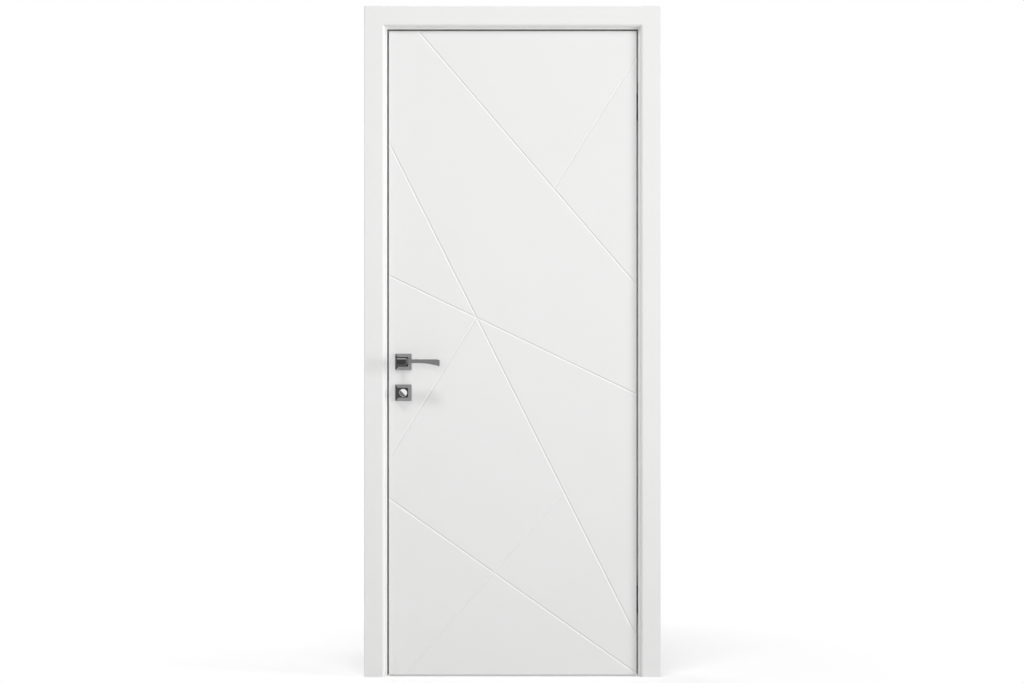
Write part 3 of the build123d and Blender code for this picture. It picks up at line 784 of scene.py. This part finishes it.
def lever_bar(sizes):
    """Head and blade in one: a section carried along the lever.

    The section is a rectangle with its two front corners cut straight and its two back corners round, and the
    blade's front leans back towards the top. At both ends all sides of the section draw in by one distance,
    by which a corner cut at 45 degrees and a round one shrink.
    """
    along, inset = lever_stations(sizes)
    blade, top, under, thick, cut = lever_limits(sizes, along)
    least = sizes.edge_round / 8.0
    most_share = 0.98
    front_corner = np.maximum(cut - (2.0 - math.sqrt(2.0)) * inset, least)
    back_corner = np.maximum(sizes.edge_round - inset, least)
    half_out = thick / 2.0 - inset
    half_up = (top - under) / 2.0 - inset
    middle_out = sizes.lever_out - thick / 2.0
    middle_up = (top + under) / 2.0
    arc_out, arc_up = lever_corners()
    radii = np.stack((front_corner, back_corner, back_corner, front_corner), axis=-1)
    radii = np.minimum(radii, most_share * np.minimum(half_out, half_up)[:, None])[:, :, None]
    sign_out = np.array([1.0, -1.0, -1.0, 1.0])[None, :, None]
    sign_up = np.array([1.0, 1.0, -1.0, -1.0])[None, :, None]
    out = middle_out[:, None, None] + sign_out * (half_out[:, None, None] - radii) + radii * arc_out[None]
    up = middle_up[:, None, None] + sign_up * (half_up[:, None, None] - radii) + radii * arc_up[None]
    share_front = (out - (sizes.lever_out - thick)[:, None, None]) / thick[:, None, None]
    share_up = (up - (sizes.blade_top - sizes.blade_tip)) / sizes.blade_tip
    out = out - blade[:, None, None] * sizes.blade_lean * share_front * np.clip(share_up, 0.0, 1.0)
    across = np.broadcast_to(along[:, None, None], out.shape)
    return np.stack((across, up, out), axis=-1).reshape(len(along), -1, 3)


def lever_neck(sizes):
    """The round neck: a circle carried out from the rose, slimmer half way by a cosine."""
    first_step = 0.001
    circles = 24
    rose = sizes.rose_clear
    inside = sizes.lever_out - sizes.head_depth / 2.0
    height = np.concatenate(([sizes.hub_gap, rose], np.linspace(rose + first_step, inside, circles)))
    share = np.clip((height - rose) / (sizes.lever_out - sizes.head_depth - rose), 0.0, 1.0)
    waist = (sizes.lever_hub - sizes.lever_waist) * 0.5 * (1.0 - np.cos(2.0 * np.pi * share))
    return circle_rings(sizes.lever_hub - waist, height)


def lever_wear(sizes, along, up):
    """Painted sheen on the plate, standing in for light from above: most on the head's upper bevel, less on
    the blade, least on the lower bevel.
    """
    blade_sheen = 0.45
    lower_sheen = 0.2
    margin = 0.002
    soft_share = 0.35
    blade = smooth_step(sizes.head_right - margin, sizes.blade_start + margin, along)
    bevel_start = sizes.head_tall / 2.0 - sizes.head_bevel
    upper = smooth_step(0.0, soft_share, (up - bevel_start) / sizes.head_bevel)
    lower = smooth_step(0.0, soft_share, (-up - bevel_start) / sizes.head_bevel)
    head = np.maximum(upper, lower_sheen * lower)
    return head + (blade_sheen - head) * blade


def make_lever(name, side, sizes, material):
    """One lever, in place of its plain solid."""
    forms = (lever_bar(sizes), lever_neck(sizes))
    shells = [skin_arrays(place_on(rings, LEVER_AXIS, side)) for rings in forms]
    piece = fused_piece(f"{name}_shaped", shells)
    points = np.empty(3 * len(piece.data.vertices))
    piece.data.vertices.foreach_get("co", points)
    from_axis = points.reshape(-1, 3) - LEVER_AXIS
    # Painted sheen on the lever, highest where light from above would catch it.
    set_attribute(piece, "rubbed", lever_wear(sizes, from_axis[:, 0], from_axis[:, 2]))
    finish_piece(piece, material, "lever_set", (name,))


def turn_rings(sizes):
    """The thumb turn as rings from the middle of its crown out, down the rim, and in to the shank.

    The crown is a gable: its height falls evenly with the distance from a ridge on the diagonal, rounded at
    the ridge by adding a small length in quadrature to that distance.
    """
    columns, crown_circles = 96, 22
    bearing = np.linspace(0.0, 2.0 * np.pi, columns, endpoint=False)
    ease = sizes.turn_ease
    under = sizes.rose_clear
    innermost = 0.0006
    inside_rim = np.linspace(innermost, sizes.turn_radius - ease, crown_circles)
    radius = np.concatenate((inside_rim, [sizes.turn_radius]))
    across = radius[:, None] * np.cos(bearing)
    up = radius[:, None] * np.sin(bearing)
    from_ridge = np.sqrt((across + up) ** 2 / 2.0 + sizes.turn_crest**2)
    slope = (sizes.turn_ridge - sizes.turn_base) / sizes.turn_radius
    out = under + sizes.turn_ridge - slope * from_ridge
    out[-1] -= ease
    crown = np.stack((across, up, out), axis=-1)
    foot = (sizes.turn_radius, sizes.turn_radius - ease, sizes.turn_hub, sizes.turn_hub)
    heights = (under + ease, under, under, sizes.hub_gap)
    return np.concatenate((crown, circle_rings(foot, heights, columns)))


def screw_rings(sizes):
    """A raised countersunk head: a short cone below, a dome, and a six-lobed recess.

    From a flat middle the dome falls as an ellipse to an upright rim, and the recess is a circle whose radius
    rises and falls six times in a turn. Most radii are shares of the rim's, most heights shares of the rise.
    """
    columns, dome_circles = 48, 6
    lobe_count, lobe_depth = 6, 0.16
    flat_middle, dome_inner = 0.3, 0.52
    ellipse_squared, least_squared = 0.5, 0.05
    below_face, recess_floor = -0.0002, 0.0001
    rim = sizes.screw_radius
    rise = sizes.screw_rise
    bearing = np.linspace(0.0, 2.0 * np.pi, columns, endpoint=False)
    lobes = 1.0 + lobe_depth * np.cos(lobe_count * bearing)
    dome = np.linspace(1.0, dome_inner, dome_circles)
    beyond = (dome - flat_middle).clip(0.0)
    dome_rise = rise * np.sqrt(np.clip(1.0 - beyond**2 / ellipse_squared, least_squared, 1.0))
    radii = np.concatenate(([0.5 * rim, rim, rim], dome[1:] * rim))
    heights = np.concatenate(([-0.5 * rim, below_face, 0.2 * rise], dome_rise[1:]))
    outer = circle_rings(radii, heights, columns)
    recess = circle_rings((0.44 * rim, 0.42 * rim), (heights[-1], recess_floor), columns)
    recess[..., :2] *= lobes[None, :, None]
    return np.concatenate((outer, recess))


def screw_set(places, out, sizes):
    """Screws at points, with their heads facing along +X or -X."""
    rings = screw_rings(sizes)
    shells = []
    for place in places:
        world = np.stack((out * rings[..., 2], rings[..., 0], rings[..., 1]), axis=-1) + np.asarray(place)
        shells.append(skin_arrays(world))
    return joined_arrays(shells)


def plate_ends(name, inset, face):
    """The two screw places of an upright plate: in the middle of its width, an inset from each end."""
    low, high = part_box(name)
    across = (low.y + high.y) / 2.0
    return [(face, across, low.z + inset), (face, across, high.z - inset)]


def seal_rings():
    """The seal's section carried up one jamb, along the head and down the other, mitred at the corners.

    The section is a flat base with a fin, a round bead and a low lip, as shares of the width in from the
    jamb's rebate and of the thickness off the stop. At a corner every point goes in by the same distance both
    ways.
    """
    hinge_low, hinge_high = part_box("hinge_seal")
    latch_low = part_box("latch_seal")[0]
    width = hinge_high.x - hinge_low.x
    thick = hinge_high.y - hinge_low.y
    bead_points = 14
    bead = np.linspace(np.pi, 0.0, bead_points)
    bead_middle, bead_half = 0.55, 0.32
    bead_foot, bead_rise = 0.42, 0.58
    bead_in = (bead_middle + bead_half * np.cos(bead)) * width
    bead_out = (bead_foot + bead_rise * np.sin(bead)) * thick
    fin_in = np.array([0.0, 0.0, 0.07, 0.10, 0.13, 0.20]) * width
    fin_out = np.array([0.0, 0.75, 0.80, 0.75, 0.35, 0.35]) * thick
    lip_in = np.array([0.92, 1.0, 1.0]) * width
    lip_out = np.array([0.35, 0.30, 0.0]) * thick
    inward = np.concatenate((fin_in, bead_in, lip_in))
    depth = hinge_high.y - np.concatenate((fin_out, bead_out, lip_out))
    right, left, top, foot = hinge_high.x, latch_low.x, hinge_high.z, hinge_low.z
    corners = (
        (right - inward, np.full_like(inward, foot)),
        (right - inward, top - inward),
        (left + inward, top - inward),
        (left + inward, np.full_like(inward, foot)),
    )
    return np.stack([np.stack((across, depth, up), axis=-1) for across, up in corners])


def largest(tree, *sockets):
    """The largest of several values."""
    result = sockets[0]
    for socket in sockets[1:]:
        result = maths(tree, "MAXIMUM", result, socket)
    return result


def white_behind(tree):
    """1 for what the camera, a reflection or glass sees, 0 for light on surfaces."""
    path = node(tree, "ShaderNodeLightPath").outputs
    return largest(tree, path["Is Camera Ray"], path["Is Glossy Ray"], path["Is Transmission Ray"])


def make_world(studio):
    """White to the eye and in reflections, an even soft light to surfaces."""
    world = bpy.data.worlds.new("studio")
    world.use_nodes = True
    tree = world.node_tree
    tree.nodes.clear()
    seen = node(tree, "ShaderNodeBackground", {"Color": (1.0, 1.0, 1.0, 1.0), "Strength": 1.0})
    light = node(tree, "ShaderNodeBackground", {"Color": (1.0, 1.0, 1.0, 1.0), "Strength": studio.ambient})
    choice = {0: white_behind(tree), 1: light.outputs[0], 2: seen.outputs[0]}
    either = node(tree, "ShaderNodeMixShader", choice)
    output = node(tree, "ShaderNodeOutputWorld")
    tree.links.new(either.outputs[0], output.inputs["Surface"])
    world.cycles.sampling_method = "NONE"
    bpy.context.scene.world = world


def floor_material(studio):
    """A pale matt floor that the eye sees as white, less the door's shadow near the door."""
    material, tree, shader = new_material("pale_floor")
    space = object_space(tree)
    film = use_group(tree, film_group, space, Ripple=60.0)
    rgb = studio.floor[:]
    tone = mixed_colour(tree, film["Clouds"], opaque(rgb, 0.98), opaque(rgb, 1.02))
    tree.links.new(tone, shader.inputs["Base Color"])
    shader.inputs["Roughness"].default_value = 0.9
    shader.inputs["Specular IOR Level"].default_value = 0.0
    seen = white_behind(tree)
    glow = node(tree, "ShaderNodeEmission", {"Strength": maths(tree, "MULTIPLY", seen, studio.floor_glow)})
    near = node(tree, "ShaderNodeAddShader", {0: shader.outputs[0], 1: glow.outputs[0]})
    white = node(tree, "ShaderNodeEmission", {"Strength": 1.0})
    door_middle = (CAD_BOX[0] + CAD_BOX[1]) / 2.0
    offset = node(tree, "ShaderNodeMapping", {"Vector": space, "Location": (-door_middle.x, 0.0, 0.0)})
    reach = node(tree, "ShaderNodeVectorMath", {0: offset.outputs[0]}, operation="LENGTH")
    limits = {"start": studio.shadow_near, "end": studio.shadow_far}
    fade = ranged(tree, reach.outputs["Value"], low=0.0, high=1.0, **limits)
    far = maths(tree, "MULTIPLY", fade, seen)
    total = node(tree, "ShaderNodeMixShader", {0: far, 1: near.outputs[0], 2: white.outputs[0]})
    tree.links.new(total.outputs[0], tree.nodes["Material Output"].inputs["Surface"])
    return material


def card_material(tone):
    """A dark card that glows faintly and that only reflections see: a painted dark reflection in the metal.
    """
    material, tree, shader = new_material("dark_card")
    tree.nodes.remove(shader)
    glow = node(tree, "ShaderNodeEmission", {"Strength": tone})
    tree.links.new(glow.outputs[0], tree.nodes["Material Output"].inputs["Surface"])
    return material


def flat_sheet(name, corners, material):
    """A four-cornered flat surface of the stage."""
    mesh = bpy.data.meshes.new(name)
    mesh.from_pydata([tuple(corner) for corner in corners], [], [(0, 1, 2, 3)])
    mesh.materials.append(material)
    sheet = bpy.data.objects.new(name, mesh)
    bpy.context.scene.collection.objects.link(sheet)
    return sheet


def area_light(name, place, target, size, power):
    """A soft rectangular light aimed at a point."""
    data = bpy.data.lights.new(name, "AREA")
    data.shape = "RECTANGLE"
    data.size, data.size_y = size
    data.energy = power
    lamp = bpy.data.objects.new(name, data)
    lamp.location = place
    lamp.rotation_euler = (Vector(target) - Vector(place)).to_track_quat("-Z", "Y").to_euler()
    lamp.visible_camera = False
    lamp.visible_glossy = False
    bpy.context.scene.collection.objects.link(lamp)


def make_lights(studio, aim):
    """A soft light in front, two far ones on the right and above for the shadows, and one behind."""
    right = math.radians(studio.right_angle)
    top = math.radians(studio.top_angle)
    from_right = studio.far * Vector((math.sin(right), -math.cos(right), RIGHT_LIGHT_RISE))
    from_above = studio.far * Vector((TOP_LIGHT_SIDE, -math.cos(top), math.sin(top)))
    for name, offset, size, power in (
        ("front_light", Vector(FRONT_LIGHT_OFFSET), FRONT_LIGHT_SIZE, studio.front_power),
        ("right_light", from_right, RIGHT_LIGHT_SIZE, studio.right_power),
        ("top_light", from_above, TOP_LIGHT_SIZE, studio.top_power),
        ("back_light", Vector(BACK_LIGHT_OFFSET), BACK_LIGHT_SIZE, studio.back_power),
    ):
        area_light(name, aim + offset, aim, size, power)


def reflected_card(studio):
    """A card on the left that slopes up from the floor, seen in the metal and nowhere else, where it paints a
    dark reflection.
    """
    near, far = -1.2, -2.4
    low, high = 0.05, 1.3
    front, back = -2.5, -0.2
    corners = ((near, front, low), (near, back, low), (far, back, high), (far, front, high))
    card = flat_sheet("dark_card", corners, card_material(studio.card_tone))
    card.visible_camera = False
    card.visible_diffuse = False
    card.visible_shadow = False
    card.visible_transmission = False


def make_camera(studio, centre):
    """A level camera square to the leaf, as far off as the view's width needs."""
    data = bpy.data.cameras.new("camera")
    data.lens = studio.lens
    distance = studio.view_width * studio.lens / data.sensor_width
    camera = bpy.data.objects.new("camera", data)
    camera.location = (centre.x - studio.view_shift, FRONT_FACE - distance, centre.z)
    camera.rotation_euler = (math.radians(90.0), 0.0, 0.0)
    data.clip_end = 5.0 * FLOOR_REACH
    bpy.context.scene.collection.objects.link(camera)
    bpy.context.scene.camera = camera


class DOOR_OT_joinery(bpy.types.Operator):
    """Lacquers the frame, the casings and the leaf, and scribes the ends of the head casings"""

    bl_idname = "door.joinery"
    bl_label = "Frame, casings and leaf"

    def execute(self, context):
        finishes = context.scene.door_finishes
        lacquer = lacquer_material(finishes.lacquer[:])
        dress(FRAME_NODES + CASING_NODES + FACING_NODES, lacquer)
        dress(CORE_NODES, edge_material(finishes.edge[:]))
        for side_name, wall_corner, out in (("front", 1, -1.0), ("back", 0, 1.0)):
            ends = scribed_ends(f"{side_name}_head_casing", wall_corner, out, context.scene.door_sizes)
            piece = new_piece(f"{side_name}_casing_scribes", ends)
            finish_piece(piece, lacquer, "frame")
        return {"FINISHED"}


class DOOR_OT_seal(bpy.types.Operator):
    """Makes the soft seal in the frame's rebate"""

    bl_idname = "door.seal"
    bl_label = "Seal"

    def execute(self, context):
        material = seal_material(context.scene.door_finishes.seal[:])
        piece = new_piece("rebate_seal", skin_arrays(seal_rings()))
        finish_piece(piece, material, "frame", SEAL_NODES)
        return {"FINISHED"}


class DOOR_OT_roses(bpy.types.Operator):
    """Makes the four square roses"""

    bl_idname = "door.roses"
    bl_label = "Roses"

    def execute(self, context):
        sizes = context.scene.door_sizes
        material = nickel(context.scene.door_finishes)
        for side_name, side in (("front", FRONT), ("back", BACK)):
            make_rose(f"{side_name}_lever_rosette", LEVER_AXIS, side, sizes.lever_hub, sizes, material)
            make_rose(f"{side_name}_turn_rosette", TURN_AXIS, side, sizes.turn_hub, sizes, material)
        return {"FINISHED"}


class DOOR_OT_levers(bpy.types.Operator):
    """Makes the two levers"""

    bl_idname = "door.levers"
    bl_label = "Levers"

    def execute(self, context):
        sizes = context.scene.door_sizes
        material = nickel(context.scene.door_finishes)
        make_lever("front_lever", FRONT, sizes, material)
        make_lever("back_lever", BACK, sizes, material)
        return {"FINISHED"}


class DOOR_OT_turn(bpy.types.Operator):
    """Makes the thumb turn and finishes the coin release on the other side"""

    bl_idname = "door.turn"
    bl_label = "Turn and release"

    def execute(self, context):
        material = chrome_material(context.scene.door_finishes.chrome[:])
        rings = place_on(turn_rings(context.scene.door_sizes), TURN_AXIS, FRONT)
        piece = new_piece("front_turn_knob_shaped", skin_arrays(rings))
        finish_piece(piece, material, "turn_set", ("front_turn_knob",))
        dress(("back_turn_release",), material)
        return {"FINISHED"}


class DOOR_OT_lock(bpy.types.Operator):
    """Finishes the lock and the strike, and puts their screws in"""

    bl_idname = "door.lock"
    bl_label = "Lock and strike"

    def execute(self, context):
        sizes = context.scene.door_sizes
        material = steel(context.scene.door_finishes)
        dress(PLATE_NODES + SPINDLE_NODES, material)
        dress(BOLT_NODES, bolt_material(context.scene.door_finishes.bolt[:]))
        inset = sizes.plate_screw
        forend_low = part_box("lock_forend")[0]
        middle_bevel = (forend_low.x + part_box("latch_stile")[0].x) / 2.0
        forend = plate_ends("lock_forend", inset, middle_bevel)
        strike = plate_ends("strike_plate", inset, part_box("strike_plate")[1].x)
        for name, places, out, body in (
            ("forend_screws", forend, -1.0, "leaf"),
            ("strike_screws", strike, 1.0, "frame"),
        ):
            piece = new_piece(name, screw_set(places, out, sizes))
            finish_piece(piece, material, body)
        return {"FINISHED"}


class DOOR_OT_hinges(bpy.types.Operator):
    """Finishes the concealed hinges and puts their screws in"""

    bl_idname = "door.hinges"
    bl_label = "Hinges"

    def execute(self, context):
        sizes = context.scene.door_sizes
        dress(HINGE_NODES, zinc_material(context.scene.door_finishes.zinc[:]))
        material = steel(context.scene.door_finishes)
        for body, out, corner in (("frame", -1.0, 0), ("leaf", 1.0, 1)):
            places = []
            for level_name in ("upper", "lower"):
                name = f"{level_name}_{body}_hinge_cup"
                places += plate_ends(name, sizes.cup_screw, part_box(name)[corner].x)
            piece = new_piece(f"{body}_hinge_screws", screw_set(places, out, sizes))
            finish_piece(piece, material, body)
        return {"FINISHED"}


class DOOR_OT_stage(bpy.types.Operator):
    """Sets up the floor, the lights and the camera"""

    bl_idname = "door.stage"
    bl_label = "Studio"

    def execute(self, context):
        studio = context.scene.door_studio
        context.scene.view_settings.view_transform = "Standard"
        low, high = CAD_BOX
        centre = (low + high) / 2.0
        make_world(studio)
        corners = [
            (x * FLOOR_REACH, y * FLOOR_REACH, 0.0)
            for x, y in ((-1.0, -1.0), (1.0, -1.0), (1.0, 1.0), (-1.0, 1.0))
        ]
        flat_sheet("floor", corners, floor_material(studio))
        make_camera(studio, centre)
        reflected_card(studio)
        make_lights(studio, Vector((centre.x, FRONT_FACE, AIM_HEIGHT)))
        return {"FINISHED"}


OPERATORS = (
    DOOR_OT_joinery,
    DOOR_OT_seal,
    DOOR_OT_roses,
    DOOR_OT_levers,
    DOOR_OT_turn,
    DOOR_OT_lock,
    DOOR_OT_hinges,
    DOOR_OT_stage,
)


class DOOR_PT_build(bpy.types.Panel):
    """Lists the steps that build the door"""

    bl_idname = "DOOR_PT_build"
    bl_label = "Interior door"
    bl_space_type = "VIEW_3D"
    bl_region_type = "UI"
    bl_category = "Door"

    def draw(self, context):
        for operator in OPERATORS:
            self.layout.operator(operator.bl_idname)


GROUPS = {"door_finishes": DoorFinishes, "door_sizes": DoorSizes, "door_studio": DoorStudio}


def register():
    """Adds the classes, and the settings to the scene."""
    for item in (*GROUPS.values(), *OPERATORS, DOOR_PT_build):
        bpy.utils.register_class(item)
    for name, group in GROUPS.items():
        setattr(bpy.types.Scene, name, PointerProperty(type=group))


def unregister():
    """Takes the settings and the classes away again."""
    for name in GROUPS:
        delattr(bpy.types.Scene, name)
    for item in reversed((*GROUPS.values(), *OPERATORS, DOOR_PT_build)):
        bpy.utils.unregister_class(item)


def main():
    """Builds the whole scene."""
    register()
    bpy.ops.door.joinery()
    bpy.ops.door.seal()
    bpy.ops.door.roses()
    bpy.ops.door.levers()
    bpy.ops.door.turn()
    bpy.ops.door.lock()
    bpy.ops.door.hinges()
    bpy.ops.door.stage()


if __name__ == "__main__":
    main()
